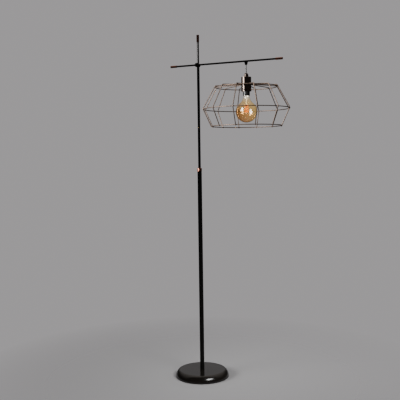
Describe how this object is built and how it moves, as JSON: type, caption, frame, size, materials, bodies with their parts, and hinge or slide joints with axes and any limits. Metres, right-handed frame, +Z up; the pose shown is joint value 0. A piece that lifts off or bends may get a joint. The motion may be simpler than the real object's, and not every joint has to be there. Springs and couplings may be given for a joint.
{
  "type": "floor lamp",
  "caption": "Telescoping floor lamp on a round weighted base, with a tilting cross arm and an open wire cage pendant round a globe bulb.",
  "frame": {"origin": "centre of the round base's underside, on the floor", "axes": "X along the cross arm towards the pendant, Y away from the side that the arm is clamped to, Z up along the pole"},
  "size_m": [0.572, 0.391, 1.585],
  "materials": {
    "black_paint": "satin to semi-gloss black powder coat",
    "cast_iron": "raw casting, hidden in the base",
    "black_pad": "soft foam pad under the base",
    "zinc_steel": "zinc plated",
    "black_nylon": "moulded, matt black",
    "cable_jacket": "smooth cable jacket",
    "pendant_cable": "thin grey round cable",
    "copper": "satin copper plate, reddish",
    "black_nickel": "black nickel plate, polished",
    "bronze_wire": "dark bronze brown, satin",
    "black_holder": "moulded, glossy black",
    "white_ceramic": "glazed insert, hidden",
    "contact_brass": "bare contact metal, hidden",
    "bulb_cap_metal": "thin rolled metal, hidden",
    "black_glass": "insulating disc of the bulb cap",
    "amber_glass": "clear amber tint, smooth",
    "clear_glass": "clear stem inside the bulb",
    "frame_wire": "thin support wire",
    "filament_coating": "orange-yellow coated filament rods"
  },
  "bodies": {
    "base": {"base_shell": "black_paint", "base_weight": "cast_iron", "base_pad": "black_pad", "foot_washer": "zinc_steel", "foot_nut": "zinc_steel", "foot_stud": "zinc_steel", "cord_bushing": "black_nylon", "lower_lead": "cable_jacket", "foot_plug": "zinc_steel", "lower_tube": "black_paint", "slide_bush": "black_nylon", "pole_collar": "copper"},
    "pole_slide": {"guide_ring": "black_nylon"},
    "pole_top": {"guide_clips": "zinc_steel", "upper_tube": "black_paint", "upper_lead": "cable_jacket", "pole_head": "black_paint", "knuckle_cap": "black_paint", "top_rod": "black_paint", "top_cap": "copper"},
    "arm": {"friction_washer": "black_nylon", "arm_hub": "black_paint", "pivot_stud": "zinc_steel", "pivot_nut": "zinc_steel", "arm_long": "black_paint", "arm_short": "black_paint", "arm_tip_long": "copper", "arm_tip_short": "copper", "arm_gland": "black_paint", "arm_lead": "cable_jacket"},
    "pendant_cable": {"pendant_cord": "pendant_cable"},
    "lamp_head": {"cord_grip": "black_nickel", "head_nipple": "zinc_steel", "nipple_nut": "zinc_steel", "cup_upper": "black_nickel", "cup_lower": "black_nickel", "cage_hub": "bronze_wire", "cage_ribs": "bronze_wire", "cage_top_ring": "bronze_wire", "cage_waist_ring": "bronze_wire", "cage_bottom_ring": "bronze_wire", "holder_cap": "black_holder", "holder_body": "black_holder", "holder_core": "white_ceramic", "screw_sleeve": "contact_brass", "centre_contact": "contact_brass", "terminal_screws": "contact_brass", "head_lead": "cable_jacket", "bulb_cap": "bulb_cap_metal", "bulb_insulator": "black_glass", "bulb_contact": "contact_brass", "bulb_glass": "amber_glass", "bulb_stem": "clear_glass", "filament_frame": "frame_wire", "filaments": "filament_coating"}
  },
  "joints": [
    {"name": "pole_height", "type": "slide", "parent": "base", "child": "pole_slide", "axis": [0, 0, 1], "range_m": [-0.3, 0.04]},
    {"name": "pole_swivel", "type": "hinge", "parent": "pole_slide", "child": "pole_top", "pos_m": [0, 0, 0.852], "axis": [0, 0, 1], "range_deg": [-170, 170]},
    {"name": "arm_tilt", "type": "hinge", "parent": "pole_top", "child": "arm", "pos_m": [0, -0.0143, 1.447], "axis": [0, -1, 0], "range_deg": [-4, 30]},
    {"name": "cord_swing", "type": "hinge", "parent": "arm", "child": "pendant_cable", "pos_m": [0.242, -0.0143, 1.4308], "axis": [0, -1, 0], "range_deg": [-5, 20]},
    {"name": "lamp_swing", "type": "hinge", "parent": "pendant_cable", "child": "lamp_head", "pos_m": [0.242, -0.0143, 1.3938], "axis": [1, 0, 0], "range_deg": [-20, 20]}
  ]
}
